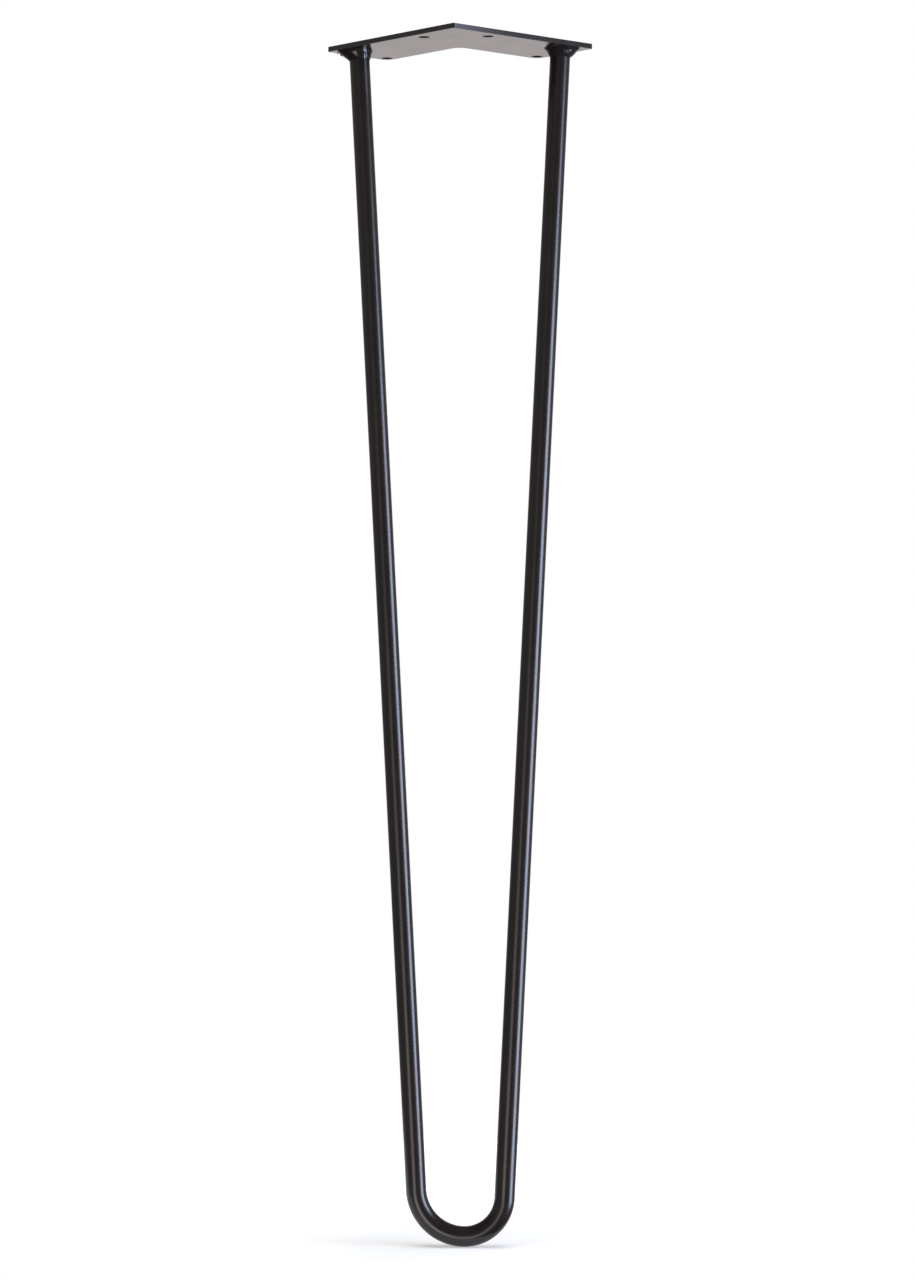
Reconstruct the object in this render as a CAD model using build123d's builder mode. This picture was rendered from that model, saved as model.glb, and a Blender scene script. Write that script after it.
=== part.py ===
"""Hairpin table leg: one round bar bent into a narrow U and welded under an L-shaped screw plate.

The origin lies on the plate's top face, midway between the two front screw holes. +Z points up
into the table top, the plate's outer corner points to -Y and the leg hangs down to the floor.
"""

import os
from math import acos, cos, degrees, pi, radians, sqrt, tan

from build123d import *

# Driving dimensions, in millimetres and degrees
leg_height = 711.0  # floor to the plate's top face
bar_diameter = 12.0
lean_angle = 4.0  # the leg leans towards the plate's outer corner
bend_radius_left = 28.4  # to the bar's axis; the bend is a little wider on this side
bend_radius_right = 23.5

plate_thickness = 3.0
arm_length = 112.5  # outer corner to the end of an arm, along the outer edge
arm_width = 48.0
inner_corner_radius = 6.0  # where the two arms meet
arm_end_radius = 5.0  # inner corner of each arm's end
outer_corner_radius = 1.0
edge_break = 0.4  # chamfer on the plate's cut edges

screw_diameter = 5.5
screw_clearance = 1.0  # added to the screw for its hole
front_hole_along = 35.0  # along the arm from the outer corner
front_hole_inset = 8.5  # in from the outer edge
rear_hole_inset = 6.0  # in from the arm's end and from its inner edge

bar_to_end = 16.0  # bar's axis to the end of the arm
weld_leg = 5.0  # reach of the weld on the plate, past the bar
weld_margin = 0.2  # plate left bare between the weld and the outer edge
toe_drift_left = 4.1  # the weld's skirt lies further out along the arm than the bar
toe_drift_right = 1.3
skirt_height = 7.0  # the skirt narrows to a tip of this height, inside the bar
collar_height = 5.8  # reach of the weld's collar down the bar
collar_rim = 0.5  # thickness of the collar at its lower rim
collar_thinning = 0.7  # share of the drift by which the collar is narrower than the skirt
puddle_radius = 5.0  # the weld is laid as a ring of overlapping puddles
puddle_sink = 1.0  # height of their centres above the plate's underside
puddle_pitch = 3.8  # spacing of the puddles along the bead
puddle_inset = 0.2  # the puddles stop short of the weld's toe
puddle_follow = 0.5  # share of the drift that the ring of puddles follows

# Sizes that follow from them
bar_radius = bar_diameter / 2
hole_radius = (screw_diameter + screw_clearance) / 2
bar_to_edge = bar_radius + weld_leg + weld_margin
bar_along = arm_length - bar_to_end
rear_hole_along = arm_length - rear_hole_inset
rear_hole_across = arm_width - rear_hole_inset
toe_radius = bar_radius + weld_leg
rim_radius = bar_radius + collar_rim
puddle_ring = toe_radius - puddle_inset - sqrt(puddle_radius**2 - puddle_sink**2)
puddle_count = round(2 * pi * (bar_radius + weld_leg / 2) / puddle_pitch)

# Plate plane: its local X runs along the right arm and its local Y along the left one
corner_y = -(front_hole_along + front_hole_inset) / sqrt(2)
underside = Plane.XY.offset(-plate_thickness)
arm_plane = Plane(origin=(0, corner_y, -plate_thickness), x_dir=(1, 1, 0), z_dir=(0, 0, 1))

with BuildPart() as mounting_plate:
    with BuildSketch(arm_plane):
        with BuildLine():
            Polyline(
                (0, 0),
                (arm_length, 0),
                (arm_length, arm_width),
                (arm_width, arm_width),
                (arm_width, arm_length),
                (0, arm_length),
                close=True,
            )
        make_face()
        for corner, radius in (
            ((arm_width, arm_width), inner_corner_radius),
            ((arm_length, arm_width), arm_end_radius),
            ((arm_width, arm_length), arm_end_radius),
            ((arm_length, 0), outer_corner_radius),
            ((0, arm_length), outer_corner_radius),
            ((0, 0), outer_corner_radius),
        ):
            fillet(vertices().sort_by_distance(corner)[0], radius=radius)
    extrude(amount=plate_thickness)
    rims = faces().filter_by(Axis.Z).edges()
    chamfer(rims, length=edge_break)
    with BuildSketch(arm_plane):
        with Locations(
            (front_hole_along, front_hole_inset),
            (front_hole_inset, front_hole_along),
            (rear_hole_along, rear_hole_across),
            (rear_hole_across, rear_hole_along),
        ):
            Circle(hole_radius)
    extrude(amount=plate_thickness, mode=Mode.SUBTRACT)

# Leg plane: local X across the leg, local Y up along its lean, zero at the plate's underside
bar_right = arm_plane.from_local_coords(Vector(bar_along, bar_to_edge, 0))
bar_left = arm_plane.from_local_coords(Vector(bar_to_edge, bar_along, 0))
leg_normal = Vector(0, -1, 0).rotate(Axis.X, -lean_angle)
leg_plane = Plane(origin=(bar_left + bar_right) / 2, x_dir=(1, 0, 0), z_dir=leg_normal)

# Each straight runs from its end under the plate to touch its own bend circle; the two circles
# touch each other at the lowest point
leg_drop = (leg_height - plate_thickness - bar_radius) / cos(radians(lean_angle))
lowest = Vector((bend_radius_left - bend_radius_right) / 2, -leg_drop)


def touch_point(end, bend_radius, turn):
    """Point where a straight from the bar's end touches its bend circle."""
    centre = lowest + Vector(0, bend_radius)
    to_end = end - centre
    angle = degrees(acos(bend_radius / to_end.length))
    return centre + to_end.normalized().rotate(Axis.Z, turn * angle) * bend_radius


end_left = Vector(-bar_right.X, 0)
end_right = Vector(bar_right.X, 0)
touch_left = touch_point(end_left, bend_radius_left, 1)
touch_right = touch_point(end_right, bend_radius_right, -1)
start = end_left + (end_left - touch_left).normalized() * bar_diameter
finish = end_right + (end_right - touch_right).normalized() * bar_diameter

with BuildLine(leg_plane) as bar_line:
    straight_left = Line(tuple(start), tuple(touch_left))
    bend_left = TangentArc(tuple(touch_left), tuple(lowest), tangent=straight_left % 1)
    bend_right = TangentArc(tuple(lowest), tuple(touch_right), tangent=bend_left % 1)
    Line(tuple(touch_right), tuple(finish))

# The bar is swept past the plate and cut off flush with the plate's underside
with BuildPart() as hairpin_rod:
    with BuildSketch(Plane(origin=bar_line.line @ 0, z_dir=bar_line.line % 0)):
        Circle(bar_radius)
    sweep(path=bar_line.line)
    split(bisect_by=underside, keep=Keep.BOTTOM)


def weld_bead(end, along_arm, down_bar, toe_drift):
    """Fillet weld round a bar end: a collar on the bar, a skirt on the plate and a ring of puddles."""
    below = Vector(0, 0, -1)
    skirt_plane = Plane(origin=end + along_arm * toe_drift, z_dir=below)
    puddle_centre = end + along_arm * toe_drift * puddle_follow - below * puddle_sink
    puddle_plane = Plane(origin=puddle_centre, z_dir=below)
    collar_plane = Plane(origin=end - down_bar * plate_thickness, z_dir=down_bar)
    tip_radius = bar_radius - toe_drift - skirt_height * tan(radians(down_bar.get_angle(below)))
    collar_toe = toe_radius - toe_drift * collar_thinning
    collar_flare = (collar_toe - rim_radius) / collar_height
    upright = (Align.CENTER, Align.CENTER, Align.MIN)
    poles_along_bead = (90, 0, 0)
    with BuildPart() as bead:
        with Locations(skirt_plane):
            Cone(toe_radius, tip_radius, skirt_height, align=upright)
        with Locations(collar_plane):
            Cone(
                bottom_radius=collar_toe + collar_flare * plate_thickness,
                top_radius=rim_radius,
                height=collar_height + plate_thickness,
                align=upright,
            )
        with Locations(puddle_plane):
            with PolarLocations(puddle_ring, puddle_count):
                Sphere(puddle_radius, rotation=poles_along_bead)
        split(bisect_by=underside, keep=Keep.BOTTOM)
        add(hairpin_rod.part, mode=Mode.SUBTRACT)
    return bead.part


down_left = bar_line.line % 0
down_right = -(bar_line.line % 1)
weld_bead_left = weld_bead(bar_left, arm_plane.y_dir, down_left, toe_drift_left)
weld_bead_right = weld_bead(bar_right, arm_plane.x_dir, down_right, toe_drift_right)

mounting_plate.part.label = "mounting_plate"
hairpin_rod.part.label = "hairpin_rod"
weld_bead_left.label = "weld_bead_left"
weld_bead_right.label = "weld_bead_right"

os.makedirs("parts", exist_ok=True)
export_step(mounting_plate.part, "parts/mounting_plate.step")
export_step(hairpin_rod.part, "parts/hairpin_rod.step")
export_step(weld_bead_left, "parts/weld_bead_left.step")
export_step(weld_bead_right, "parts/weld_bead_right.step")
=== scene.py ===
# %% [markdown]
# # A hairpin table leg
# One round steel bar is bent into a narrow U, and both of its ends are welded under an L-shaped screw
# plate. The whole leg is then powder coated in satin black. The measured solids come in first as a
# fixed frame, and each piece below is modelled over its own solid, in metres and in the same place.

# %% Load the frame
from math import acos, cos, degrees, pi, radians, sin, sqrt
from random import Random

import bmesh
import bpy
from mathutils import Matrix, Quaternion, Vector


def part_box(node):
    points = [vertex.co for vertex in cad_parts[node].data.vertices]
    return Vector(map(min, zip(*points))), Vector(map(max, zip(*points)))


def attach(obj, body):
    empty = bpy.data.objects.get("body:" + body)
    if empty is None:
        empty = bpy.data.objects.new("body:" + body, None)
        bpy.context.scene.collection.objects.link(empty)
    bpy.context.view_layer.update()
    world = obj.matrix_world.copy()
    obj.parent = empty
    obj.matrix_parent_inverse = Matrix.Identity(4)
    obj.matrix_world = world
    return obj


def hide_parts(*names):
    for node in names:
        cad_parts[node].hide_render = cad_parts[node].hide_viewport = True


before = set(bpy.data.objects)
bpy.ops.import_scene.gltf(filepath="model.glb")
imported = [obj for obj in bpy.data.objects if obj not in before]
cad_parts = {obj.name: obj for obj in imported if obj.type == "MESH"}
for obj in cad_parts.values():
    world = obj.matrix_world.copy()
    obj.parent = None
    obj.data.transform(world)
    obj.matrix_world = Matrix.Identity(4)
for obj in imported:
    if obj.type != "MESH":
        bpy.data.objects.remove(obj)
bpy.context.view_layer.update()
MM = 0.001
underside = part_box("mounting_plate")[0].z
floor_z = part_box("hairpin_rod")[0].z
print("nodes:", sorted(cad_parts), "height mm:", round(-floor_z / MM, 1))

# %% [markdown]
# ## Camera
# Something tall is photographed from far away with a long lens, so that upright lines stay nearly
# parallel. The camera stands level with the middle of the leg and a little to its right, and from there
# the underside of the plate shows as a thin bright wedge. Lens and place were worked out from the two
# straight bars, the screw holes and the corners of the plate.

# %% Camera
camera_lens = 100.34
camera_distance = 2089.4 * MM
camera_side = -0.5 * MM
camera_height = -356.3 * MM
camera_azimuth = radians(2.704)
camera_roll = radians(0.218)

view_forward = Vector((-sin(camera_azimuth), cos(camera_azimuth), 0))
view_right = Vector((cos(camera_azimuth), sin(camera_azimuth), 0))
bpy.ops.object.select_all(action="DESELECT")
bpy.ops.object.camera_add(location=view_right * camera_side - view_forward * camera_distance)
camera = bpy.context.object
camera.name = "level_camera"
camera.location.z = camera_height
camera.data.lens = camera_lens
camera.rotation_mode = "QUATERNION"
level = view_forward.to_track_quat("-Z", "Y")
camera.rotation_quaternion = level @ Quaternion((0, 0, 1), -camera_roll)
bpy.context.scene.camera = camera
print("camera at mm:", [round(c / MM) for c in camera.location])

# %% [markdown]
# ## Line of the bar
# Everything else hangs on the line that the bar follows, so it is worked out first. The two ends stand
# on the arms of the plate, the leg leans a few degrees, and each straight runs down until it touches
# its bend circle. The bend is a little wider on the left, so there are two circles, which meet at the
# lowest point.

# %% Line of the bar
arm_length = 112.5 * MM
front_hole_along = 35.0 * MM
front_hole_inset = 8.5 * MM
bar_radius = 6.0 * MM
bar_to_end = 16.0 * MM
bar_to_edge = 11.2 * MM
lean = radians(4.0)
bend_left = 28.4 * MM
bend_right = 23.5 * MM

corner = Vector((0, -(front_hole_along + front_hole_inset) / sqrt(2), 0))
along_right = Vector((1, 1, 0)).normalized()
along_left = Vector((-1, 1, 0)).normalized()
bar_along = arm_length - bar_to_end
end_left = corner + along_left * bar_along + along_right * bar_to_edge
end_right = corner + along_right * bar_along + along_left * bar_to_edge
end_left.z = end_right.z = underside

across = Vector((1, 0, 0))
up_leg = Vector((0, sin(lean), cos(lean)))
towards_viewer = across.cross(up_leg)
leg_drop = (underside - floor_z - bar_radius) / cos(lean)
lowest = (end_left + end_right) / 2 + across * (bend_left - bend_right) / 2 - up_leg * leg_drop


def touch_point(end, bend, turn):
    """Where the straight from a bar end touches its bend circle, and that circle's centre."""
    centre = lowest + up_leg * bend
    to_end = end - centre
    to_touch = Matrix.Rotation(turn * acos(bend / to_end.length), 3, towards_viewer) @ to_end
    return centre + to_touch.normalized() * bend, centre


touch_left, centre_left = touch_point(end_left, bend_left, 1)
touch_right, centre_right = touch_point(end_right, bend_right, -1)
down_left = (touch_left - end_left).normalized()
up_right = (end_right - touch_right).normalized()
turn_left = down_left.angle(across)
turn_right = up_right.angle(across)
print("straights mm:", [round(d.length / MM, 1) for d in (touch_left - end_left, end_right - touch_right)])
print("turns, degrees:", round(degrees(turn_left), 2), round(degrees(turn_right), 2))

# %% [markdown]
# ## Bar
# The bar is one length of round steel, so it is modelled in one run: a ring is drawn down the left
# straight, spun round the bend and drawn up the right straight. A curve with a round section would do as
# well, but spin keeps the section round and its steps even, and the result is a mesh from the start. The
# run starts and ends a little above the plate's underside, and a bisect there then gives both ends their
# slanted seat.

# %% Tools for the bar
merge_distance = 0.001 * MM


def only(piece):
    """Leaves one object selected and active."""
    bpy.ops.object.select_all(action="DESELECT")
    piece.select_set(True)
    bpy.context.view_layer.objects.active = piece


def settle(name):
    """Names the active piece and moves its place into its mesh, so that its object is at the origin."""
    piece = bpy.context.object
    piece.name = piece.data.name = name
    bpy.ops.object.transform_apply(location=True, rotation=True, scale=True)
    return piece


def draw_out(run, steps):
    """Extrudes what is selected along a run, in equal steps."""
    for _ in range(steps):
        bpy.ops.mesh.extrude_region_move(TRANSFORM_OT_translate={"value": run / steps})


def close_up():
    """Merges doubles and turns all faces of the mesh in edit mode outwards."""
    bpy.ops.mesh.select_all(action="SELECT")
    bpy.ops.mesh.remove_doubles(threshold=merge_distance)
    bpy.ops.mesh.normals_make_consistent(inside=False)


def seat_under_plate():
    """Cuts the mesh in edit mode off at the plate's underside and closes it there."""
    bpy.ops.mesh.select_all(action="SELECT")
    bpy.ops.mesh.bisect(
        plane_co=(0, 0, underside),
        plane_no=(0, 0, 1),
        use_fill=True,
        clear_outer=True,
        threshold=merge_distance,
    )
    close_up()


print("doubles closer than mm:", round(merge_distance / MM, 4))

# %% Bar
bar_sides = 64
straight_steps = 24
bend_steps = 32
past_plate = bar_radius
crease_angle = radians(40)

bpy.ops.object.select_all(action="DESELECT")
bpy.ops.mesh.primitive_circle_add(
    vertices=bar_sides,
    radius=bar_radius,
    location=end_left - down_left * past_plate,
    rotation=down_left.to_track_quat("Z", "X").to_euler(),
)
bar = settle("bent_bar")
bpy.ops.object.mode_set(mode="EDIT")
bpy.ops.mesh.select_all(action="SELECT")
draw_out(touch_left - end_left + down_left * past_plate, straight_steps)
for centre, turn in ((centre_left, turn_left), (centre_right, turn_right)):
    bpy.ops.mesh.spin(steps=bend_steps, angle=-turn, center=centre, axis=towards_viewer)
draw_out(end_right - touch_right + up_right * past_plate, straight_steps)
close_up()
seat_under_plate()
bpy.ops.object.mode_set(mode="OBJECT")
bpy.ops.object.shade_smooth_by_angle(angle=crease_angle)
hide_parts("hairpin_rod")
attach(bar, "root")
lowest_bar = min(v.co.z for v in bar.data.vertices)
print("bar faces:", len(bar.data.polygons), "lowest mm:", round(lowest_bar / MM, 2))

# %% [markdown]
# ## Screw plate
# The plate is cut from flat steel as an L with two equal arms, and its inner corner and arm ends are
# rounded. It could be drawn as an outline and thickened, but pulling two arms out of a corner block
# keeps the mesh to the few faces that it needs. The upright edges are then rounded, each with its own
# radius. All of this is done square to the axes, where corners are easy to find by their place.

# %% Plate outline
plate_thickness = -underside
arm_width = 48.0 * MM
inner_corner_radius = 6.0 * MM
arm_end_radius = 5.0 * MM
outer_corner_radius = 1.0 * MM
corner_segments = 10
same_place = 0.01 * MM
looks_along = 0.9
flat_angle = radians(1)


def pick(piece, kind, test):
    """Selects the faces or edges of the mesh in edit mode that pass a test."""
    bpy.ops.mesh.select_mode(type="FACE" if kind == "faces" else "EDGE")
    bpy.ops.mesh.select_all(action="DESELECT")
    mesh = bmesh.from_edit_mesh(piece.data)
    for element in getattr(mesh, kind):
        element.select_set(test(element))
    bmesh.update_edit_mesh(piece.data)


def upright_at(places):
    """A test for upright edges that stand at one of some places in plan."""

    def test(edge):
        top, bottom = (vertex.co for vertex in edge.verts)
        upright = (top.xy - bottom.xy).length < same_place
        return upright and any((top.xy - Vector(place)).length < same_place for place in places)

    return test


bpy.ops.object.select_all(action="DESELECT")
bpy.ops.mesh.primitive_cube_add(
    size=1,
    location=(arm_width / 2, arm_width / 2, underside / 2),
    scale=(arm_width, arm_width, plate_thickness),
)
plate = settle("screw_plate")
arm_run = arm_length - arm_width
bpy.ops.object.mode_set(mode="EDIT")
pick(plate, "faces", lambda face: face.normal.x > looks_along)
bpy.ops.mesh.extrude_region_move(TRANSFORM_OT_translate={"value": (arm_run, 0, 0)})
pick(plate, "faces", lambda face: face.normal.y > looks_along and face.calc_center_median().x < arm_width)
bpy.ops.mesh.extrude_region_move(TRANSFORM_OT_translate={"value": (0, arm_run, 0)})
bpy.ops.mesh.select_all(action="SELECT")
bpy.ops.mesh.dissolve_limited(angle_limit=flat_angle)
for radius, places in (
    (inner_corner_radius, [(arm_width, arm_width)]),
    (arm_end_radius, [(arm_length, arm_width), (arm_width, arm_length)]),
    (outer_corner_radius, [(0, 0), (arm_length, 0), (0, arm_length)]),
):
    pick(plate, "edges", upright_at(places))
    bpy.ops.mesh.bevel(offset=radius, segments=corner_segments, affect="EDGES")
close_up()
bpy.ops.object.mode_set(mode="OBJECT")
print("plate outline faces:", len(plate.data.polygons))

# %% [markdown]
# ## Screw holes and soft edges
# Four plain holes take the wood screws. They could be inset and extruded out of the faces, but a cylinder
# and a boolean give a round hole anywhere in a flat face, with the outline as it was. The coat softens
# every edge a little, so a small bevel then runs along all sharp edges, with hardened normals that keep
# the flat faces flat. Only at the end is the plate turned by half a right angle into its place.

# %% Screw holes and soft edges
hole_radius = 3.25 * MM
hole_sides = 48
rear_hole_inset = 6.0 * MM
drill_depth = 3 * plate_thickness
edge_radius = 0.4 * MM
edge_segments = 3
plate_turn = radians(45)


def apply_modifier(piece, kind, **settings):
    """Adds a modifier with its settings to a piece and applies it at once."""
    only(piece)
    modifier = piece.modifiers.new(kind.lower(), kind)
    for name, value in settings.items():
        setattr(modifier, name, value)
    bpy.ops.object.modifier_apply(modifier=modifier.name)


front_hole = (front_hole_along, front_hole_inset)
rear_hole = (arm_length - rear_hole_inset, arm_width - rear_hole_inset)
drills = []
for x, y in (front_hole, rear_hole, front_hole[::-1], rear_hole[::-1]):
    bpy.ops.mesh.primitive_cylinder_add(
        vertices=hole_sides,
        radius=hole_radius,
        depth=drill_depth,
        location=(x, y, underside / 2),
    )
    drills.append(bpy.context.object)
for drill in drills:
    apply_modifier(plate, "BOOLEAN", operation="DIFFERENCE", solver="EXACT", object=drill)
    bpy.data.objects.remove(drill)
only(plate)
bpy.ops.object.shade_smooth_by_angle(angle=crease_angle)
apply_modifier(
    plate,
    "BEVEL",
    width=edge_radius,
    segments=edge_segments,
    limit_method="ANGLE",
    angle_limit=crease_angle,
    harden_normals=True,
)
plate.rotation_euler.z = plate_turn
plate.location = corner
only(plate)
settle("screw_plate")
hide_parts("mounting_plate")
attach(plate, "root")
print("plate faces:", len(plate.data.polygons), "size mm:", [round(d / MM, 2) for d in plate.dimensions])

# %% [markdown]
# ## Welds
# Each bar end is held by a fillet weld that runs once round it: a slanted cone of metal from the plate
# down to the bar, wider towards the end of the arm. By hand this would be sculpted. Here a hollow cone is
# drawn ring by ring instead, because its rings can follow both the leaning bar and the flat plate. It
# starts above the plate's underside and ends inside the bar, so that both seats can be cut clean later.

# %% Weld cone
weld_toe = 10.9 * MM
weld_tip = 5.5 * MM
weld_hollow = 1.25
weld_rings = 12
weld_sides = 96


def weld_ring(end, reach, drift, step):
    """Centre and radius of one ring of the weld's slanted, slightly hollow cone. Step 0 is on the plate."""
    flare = (1 - step / weld_rings) ** weld_hollow
    centre = end + reach * step / weld_rings + drift * flare
    return centre, weld_tip + (weld_toe - weld_tip) * flare


def add_weld_cone(name, end, reach, drift):
    """The weld's cone, drawn ring by ring from above the plate's underside to its tip inside the bar."""
    first = -weld_rings // 2
    centre, radius = weld_ring(end, reach, drift, first)
    bpy.ops.object.select_all(action="DESELECT")
    bpy.ops.mesh.primitive_circle_add(vertices=weld_sides, radius=radius, fill_type="NGON", location=centre)
    weld = settle(name)
    bpy.ops.object.mode_set(mode="EDIT")
    bpy.ops.mesh.select_all(action="SELECT")
    for step in range(first + 1, weld_rings + 1):
        next_centre, next_radius = weld_ring(end, reach, drift, step)
        draw_out(next_centre - centre, 1)
        bpy.ops.transform.resize(value=[next_radius / radius] * 3, center_override=next_centre)
        centre, radius = next_centre, next_radius
    return weld


print("weld radius mm:", round(weld_toe / MM, 1), "to", round(weld_tip / MM, 1), "in rings:", weld_rings)

# %% [markdown]
# ## Puddles of the weld
# A weld is laid puddle by puddle, and each puddle sets like a fish scale over the one before. A bump in
# the material could draw such ripples, but the outline would stay smooth. So each puddle is a thin lens,
# sunk into the cone's flank until little more than its rim stands out, and tilted to lift that rim over
# its neighbour. Small changes from a seeded random row keep the scales from looking machined.

# %% Weld puddles
puddle_pitch = 1.9 * MM
puddle_length = 2.4 * MM
puddle_thickness = 1.0 * MM
puddle_bulge = 0.15 * MM
puddle_tilt = radians(7)
puddle_count = round(pi * (weld_toe + weld_tip) / puddle_pitch)
tilt_range = (0.7, 1.3)
bulge_range = (0.5, 1.5)
length_range = (0.95, 1.15)
half_flank_range = (0.47, 0.53)


def add_puddle(end, reach, out, drift, chance):
    """One lens on the flank that out points to, tilted so that its edge stands over the one before."""
    toe = end + drift + out * weld_toe
    tip = end + reach + out * weld_tip
    slope = (tip - toe).normalized()
    normal = reach.cross(out).cross(slope).normalized()
    ring_centre, ring_radius = weld_ring(end, reach, drift, weld_rings / 2)
    turn = Matrix((slope.cross(normal), slope, normal)).transposed()
    tilt = Matrix.Rotation(puddle_tilt * chance.uniform(*tilt_range), 3, "Y")
    sunk = puddle_thickness - puddle_bulge * chance.uniform(*bulge_range)
    bpy.ops.mesh.primitive_uv_sphere_add(
        radius=1,
        location=ring_centre + out * ring_radius - normal * sunk,
        rotation=(turn @ tilt).to_euler(),
        scale=(
            puddle_length * chance.uniform(*length_range),
            (tip - toe).length * chance.uniform(*half_flank_range),
            puddle_thickness,
        ),
    )


print("puddles round a weld:", puddle_count)

# %% [markdown]
# ## Melting the weld together
# The molten metal joined all of this into one skin, and that can be followed step by step: a voxel remesh
# joins the cone, the lenses and a few droplets of spatter, some rounds of smoothing let them flow, and a
# soft noise adds lumps. A bisect then seats the weld on the plate, and a boolean cuts the bar out of it.
# A remesh rounds sharp edges off, which would spoil a machined piece but suits molten metal.

# %% Tools for melting
weld_grain = 0.17 * MM
melt_strength = 0.5
melt_rounds = 4
lump_size = 6.0 * MM
lump_height = 0.5 * MM
bar_overlap = 0.02 * MM
lumps = bpy.data.textures.new("weld_lumps", type="CLOUDS")
lumps.noise_scale = lump_size
lumps.noise_depth = 1


def melt(weld):
    """Joins a weld's cone, puddles and spatter into one closed skin with soft lumps."""
    apply_modifier(weld, "REMESH", mode="VOXEL", voxel_size=weld_grain)
    apply_modifier(weld, "SMOOTH", factor=melt_strength, iterations=melt_rounds)
    apply_modifier(weld, "DISPLACE", texture=lumps, texture_coords="LOCAL", strength=lump_height)


def cut_out_bar(weld, end, down, length):
    """Cuts the bar out of a weld, but for a hair of overlap that hides the seam."""
    bpy.ops.mesh.primitive_cylinder_add(
        vertices=bar_sides,
        radius=bar_radius - bar_overlap,
        depth=length,
        location=end,
        rotation=down.to_track_quat("Z", "X").to_euler(),
    )
    cutter = bpy.context.object
    apply_modifier(weld, "BOOLEAN", operation="DIFFERENCE", solver="EXACT", object=cutter)
    bpy.data.objects.remove(cutter)


print("weld grain mm:", round(weld_grain / MM, 2), "lumps mm:", round(lump_size / MM, 1))

# %% Welds
place_jitter = 0.15
weld_crease = radians(60)


def lay_weld(name, end, down, along_arm, inwards, drift, depth, spatter, seed):
    """A fillet weld round a bar end, with spatter at (along arm, inwards, down the bar, radius)."""
    chance = Random(seed)
    reach = down * depth
    shift = along_arm * drift
    weld = add_weld_cone(name, end, reach, shift)
    for step in range(puddle_count):
        angle = 2 * pi * (step + chance.uniform(-place_jitter, place_jitter)) / puddle_count
        out = along_arm * cos(angle) + inwards * sin(angle)
        add_puddle(end, reach, out, shift, chance)
    for along, inward, drop, radius in spatter:
        place = end + along_arm * along + inwards * inward + down * drop
        bpy.ops.mesh.primitive_uv_sphere_add(radius=radius, location=place)
    bpy.ops.object.mode_set(mode="OBJECT")
    melt(weld)
    bpy.ops.object.mode_set(mode="EDIT")
    seat_under_plate()
    bpy.ops.object.mode_set(mode="OBJECT")
    cut_out_bar(weld, end, down, length=4 * depth)
    only(weld)
    bpy.ops.object.shade_smooth_by_angle(angle=weld_crease)
    return weld


left_lay = {
    "drift": 4.1 * MM,
    "depth": 7.6 * MM,
    "spatter": [(13.2 * MM, -5.1 * MM, 0, 1.0 * MM), (9.1 * MM, -6.1 * MM, 1.9 * MM, 0.9 * MM)],
    "seed": 4,
}
right_lay = {
    "drift": 1.3 * MM,
    "depth": 6.8 * MM,
    "spatter": [(11.6 * MM, 4.4 * MM, 0, 0.8 * MM)],
    "seed": 9,
}
weld_left = lay_weld("weld_left", end_left, down_left, along_left, along_right, **left_lay)
weld_right = lay_weld("weld_right", end_right, -up_right, along_right, along_left, **right_lay)
for weld, node in ((weld_left, "weld_bead_left"), (weld_right, "weld_bead_right")):
    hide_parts(node)
    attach(weld, "root")
    print(weld.name, "faces:", len(weld.data.polygons))

# %% [markdown]
# ## Powder coat
# Powder coat is a plastic paint that is sprayed on as dust and melted on in an oven. It leaves a soft
# skin with a fine orange peel, and in satin black it shows mostly as reflections: dark where the room
# is dark, and pale where it mirrors something white at a low angle. A flat black would do from far away,
# but the roughness and a shallow bump carry the look, so they vary and the colour stays almost black.
# One function makes the coat, and each kind of piece gets its own version, because the coat flows
# thicker and glossier over a weld than over flat steel, and lies a little duller on the round bar.

# %% Powder coat
coat_shades = ("#1d1816", "#251f1d")
coat_ior = 1.5
mottle_width = 14 * MM
mottle_span = (0.3, 0.7)


def linear(hex_colour):
    """Linear RGBA values of an sRGB hex colour."""
    shares = [int(hex_colour[i : i + 2], 16) / 255 for i in (1, 3, 5)]
    return [s / 12.92 if s <= 0.04045 else ((s + 0.055) / 1.055) ** 2.4 for s in shares] + [1.0]


def add_node(tree, kind, inputs, **settings):
    """Adds a node. An input goes by its name, or by its number where names repeat, as on Mix and Math.

    Its value is a number, a colour, a vector or another node's output.
    """
    added = tree.nodes.new("ShaderNode" + kind)
    for name, value in settings.items():
        setattr(added, name, value)
    for socket, value in inputs.items():
        if isinstance(value, bpy.types.NodeSocket):
            tree.links.new(value, added.inputs[socket])
        else:
            added.inputs[socket].default_value = value
    return added


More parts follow.
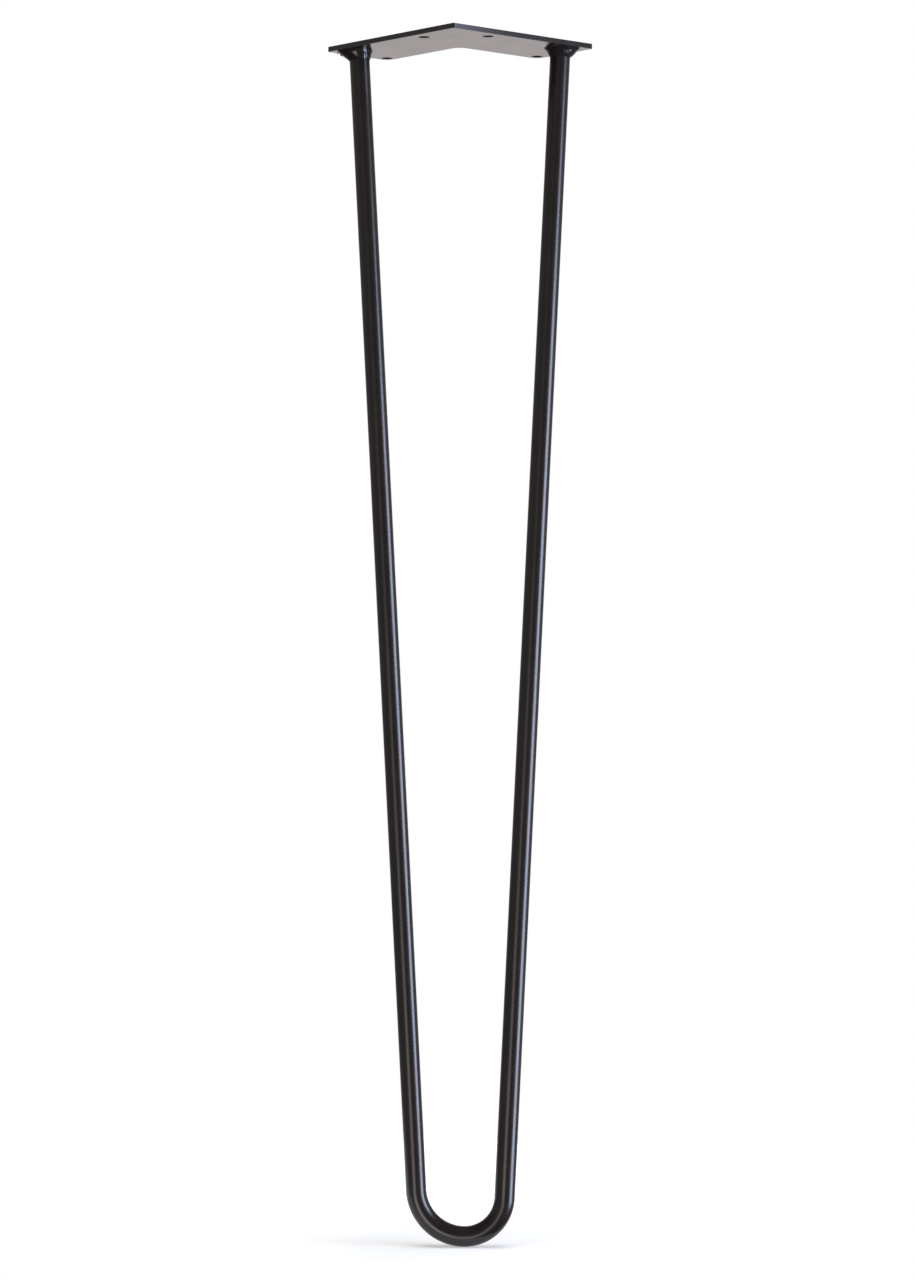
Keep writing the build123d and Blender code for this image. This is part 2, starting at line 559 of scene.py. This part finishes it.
def powder_coat(name, roughness, peel_width, peel_height):
    """Satin black powder coat, with its roughness range and the size of its orange peel."""
    material = bpy.data.materials.new(name)
    material.use_nodes = True
    tree = material.node_tree
    tree.nodes.clear()
    place = add_node(tree, "TexCoord", {}).outputs["Object"]
    # The eye sees soft, slightly uneven reflections on near black, a little brown where they are weak
    mottle = add_node(tree, "TexNoise", {"Vector": place, "Scale": 1 / mottle_width, "Detail": 3.0})
    dark, light = (linear(shade) for shade in coat_shades)
    shade = add_node(tree, "Mix", {0: mottle.outputs[0], 6: dark, 7: light}, data_type="RGBA")
    gloss = add_node(
        tree,
        "MapRange",
        {
            "Value": mottle.outputs[0],
            "From Min": mottle_span[0],
            "From Max": mottle_span[1],
            "To Min": roughness[0],
            "To Max": roughness[1],
        },
    )
    peel = add_node(tree, "TexNoise", {"Vector": place, "Scale": 1 / peel_width, "Detail": 2.0})
    bump = add_node(tree, "Bump", {"Height": peel.outputs[0], "Strength": 1.0, "Distance": peel_height})
    coat = add_node(
        tree,
        "BsdfPrincipled",
        {
            "Base Color": shade.outputs[2],
            "Roughness": gloss.outputs[0],
            "IOR": coat_ior,
            "Normal": bump.outputs[0],
        },
    )
    add_node(tree, "OutputMaterial", {"Surface": coat.outputs[0]})
    return material


# Pieces of each coat, its roughness range, and the width and height of its orange peel
coats = {
    "satin_powder_coat_on_bar": ([bar], (0.22, 0.27), 1.8 * MM, 0.003 * MM),
    "satin_powder_coat_on_plate": ([plate], (0.19, 0.22), 1.8 * MM, 0.003 * MM),
    "satin_powder_coat_on_weld": ([weld_left, weld_right], (0.17, 0.21), 1.4 * MM, 0.004 * MM),
}
for name, (pieces, roughness, peel_width, peel_height) in coats.items():
    coat = powder_coat(name, roughness, peel_width, peel_height)
    for piece in pieces:
        piece.data.materials.clear()
        piece.data.materials.append(coat)
print("coats:", list(coats))

# %% [markdown]
# ## Room
# A black satin thing is lit by what it mirrors, so the light starts with a room. A plain grey world would
# leave the bars flat. This one is grey with soft round patches: a darker front, a paler wall on the left,
# a dark ceiling and a dark lower part. A low warm glow in front gives the faint line in the middle of the
# lower bars. Only the backdrop behind the leg is white, and the underside of the plate mirrors it. Each
# patch is mixed in by the angle between a ray and the middle of the patch, which needs no picture.

# %% Room
room_grey = "#949292"
warm_glow = [5.6, 5.0, 4.8, 1.0]
falloff = 1.5
upwards = Vector((0, 0, 1))


def from_camera(turn, rise):
    """Direction from the leg, turned right of the camera and raised above level, in degrees."""
    level = view_right * sin(radians(turn)) - view_forward * cos(radians(turn))
    return level * cos(radians(rise)) + upwards * sin(radians(rise))


def add_mirrored(tree, ray):
    """Adds an output that is 1 on rays that come by way of a mirroring or a clear surface."""
    kinds = {0: ray.outputs["Is Glossy Ray"], 1: ray.outputs["Is Transmission Ray"]}
    return add_node(tree, "Math", kinds, operation="MAXIMUM").outputs[0]


world = bpy.data.worlds.new("white_studio")
bpy.context.scene.world = world
world.use_nodes = True
tree = world.node_tree
tree.nodes.clear()
ray = add_node(tree, "LightPath", {})
direction = add_node(tree, "TexCoord", {}).outputs["Generated"]
# Middle of each patch, degrees from there to its edge and to its full tone, its tone and how much it shows
patches = {
    "darker_front": (from_camera(12, 12), (48, 12), linear("#5e5c5c"), 1.0),
    "paler_left_wall": (from_camera(-90, 18), (24, 0), linear("#b2b0b0"), 1.0),
    "dark_ceiling": (upwards, (78, 50), linear("#454443"), 1.0),
    "low_warm_glow": (from_camera(-15.5, -11), (20.5, 0), warm_glow, 1.0),
    "dark_lower_room": (-upwards, (79, 67), linear("#505050"), 1.0),
    "white_backdrop": (from_camera(180, 0), (28, 23), linear("#fff7f6"), add_mirrored(tree, ray)),
}
colour = linear(room_grey)
for middle, (outer, inner), tone, shown in patches.values():
    nearness = add_node(tree, "VectorMath", {0: direction, 1: middle}, operation="DOT_PRODUCT")
    edge = add_node(
        tree,
        "MapRange",
        {
            "Value": nearness.outputs["Value"],
            "From Min": cos(radians(outer)),
            "From Max": cos(radians(inner)),
        },
    )
    soft = add_node(tree, "Math", {0: edge.outputs[0], 1: falloff}, operation="POWER")
    share = add_node(tree, "Math", {0: soft.outputs[0], 1: shown}, operation="MULTIPLY")
    mixed = add_node(tree, "Mix", {0: share.outputs[0], 6: colour, 7: tone}, data_type="RGBA")
    colour = mixed.outputs[2]
seen = add_node(
    tree,
    "Mix",
    {0: ray.outputs["Is Camera Ray"], 6: colour, 7: linear("#ffffff")},
    data_type="RGBA",
)
background = add_node(tree, "Background", {"Color": seen.outputs[2], "Strength": 1.0})
add_node(tree, "OutputWorld", {"Surface": background.outputs[0]})
print("room patches:", list(patches))

# %% [markdown]
# ## Lamps
# A tall strip of cool window light on the right draws a thin line down each bar, and a smaller, dimmer
# pane above it lets that line fade towards the plate. A large soft box overhead fills the rest and gives
# the soft shadow under the foot. It would be mirrored as a white spot, so it is hidden from mirrors. All
# three could be patches of the world, but lamps give less noise. A lamp's power follows from its size, so
# that a larger one isn't brighter to look at.

# %% Lamps
leg_middle = Vector((0, 0, floor_z / 2))
window_distance = 1.2
window_tint = (0.81, 0.92, 1.24)


def beside_leg(turn, height):
    """Place of a window, turned right of the camera by some degrees."""
    place = leg_middle + from_camera(turn, 0) * window_distance
    place.z = height
    return place


def soft_box(name, place, size, radiance, tint):
    """An area lamp, level beside the leg or straight above it, as bright as a card of that radiance."""
    facing = leg_middle - place
    if facing.xy.length > 0:
        facing.z = 0
    bpy.ops.object.light_add(
        type="AREA",
        location=place,
        rotation=facing.to_track_quat("-Z", "Y").to_euler(),
    )
    lamp = bpy.context.object
    lamp.name = lamp.data.name = name
    lamp.data.shape = "RECTANGLE"
    lamp.data.size, lamp.data.size_y = size
    # an area lamp shows a radiance of its power over four times its area
    lamp.data.energy = radiance * 4 * size[0] * size[1]
    lamp.data.color = tint
    lamp.visible_camera = False
    return lamp


soft_box("window_strip", beside_leg(73, -0.49), size=(0.62, 1.04), radiance=7.6, tint=window_tint)
soft_box("upper_pane", beside_leg(72, 0.13), size=(0.36, 0.18), radiance=4.7, tint=window_tint)
overhead = soft_box("overhead_box", Vector((0, 0, 1.3)), size=(1.6, 1.6), radiance=3.4, tint=(1, 1, 1))
overhead.visible_glossy = False

# %% [markdown]
# ## Floor
# The leg stands near the front edge of a round white table with matt paint, which takes the leg's soft
# shadow and mirrors nothing. More light would whiten it, but would also bleach the leg, so a little glow
# lifts it to the white of the room instead. The glow grows away from the foot, so that the table's far
# edge is lost in the white. Its lower side is clear, so that the leg can be looked at from below as well.

# %% Floor
table_radius = 0.28
table_edge = 0.02
table_sides = 128
towards_edge = Vector((0.6, -0.8, 0))
table_white = "#c4c4c4"
glow_reach = (0.06, 0.22)
glow_strength = (0.45, 0.75)

foot = Vector((lowest.x, lowest.y, floor_z))
bpy.ops.object.select_all(action="DESELECT")
bpy.ops.mesh.primitive_circle_add(
    vertices=table_sides,
    radius=table_radius,
    fill_type="NGON",
    location=foot - towards_edge * (table_radius - table_edge),
)
floor = settle("white_table")
paint = bpy.data.materials.new("white_table_paint")
paint.use_nodes = True
tree = paint.node_tree
tree.nodes.clear()
ray = add_node(tree, "LightPath", {})
looked_at = {0: ray.outputs["Is Camera Ray"], 1: add_mirrored(tree, ray)}
seen = add_node(tree, "Math", looked_at, operation="MAXIMUM")
geometry = add_node(tree, "NewGeometry", {})
to_foot = add_node(tree, "VectorMath", {0: geometry.outputs["Position"], 1: foot}, operation="DISTANCE")
lift = add_node(
    tree,
    "MapRange",
    {
        "Value": to_foot.outputs["Value"],
        "From Min": glow_reach[0],
        "From Max": glow_reach[1],
        "To Min": glow_strength[0],
        "To Max": glow_strength[1],
    },
)
strength = add_node(tree, "Math", {0: seen.outputs[0], 1: lift.outputs[0]}, operation="MULTIPLY")
matt = add_node(tree, "BsdfDiffuse", {"Color": linear(table_white)})
glow = add_node(tree, "Emission", {"Color": linear("#ffffff"), "Strength": strength.outputs[0]})
top_side = add_node(tree, "AddShader", {0: matt.outputs[0], 1: glow.outputs[0]})
clear = add_node(tree, "BsdfTransparent", {})
below = geometry.outputs["Backfacing"]
both = add_node(tree, "MixShader", {0: below, 1: top_side.outputs[0], 2: clear.outputs[0]})
add_node(tree, "OutputMaterial", {"Surface": both.outputs[0]})
floor.data.materials.append(paint)
print("table top at mm:", round(floor_z / MM, 1))

# %% [markdown]
# ## Finish
# The Standard view shows colours as they are written.

# %% Finish
bpy.context.scene.view_settings.view_transform = "Standard"
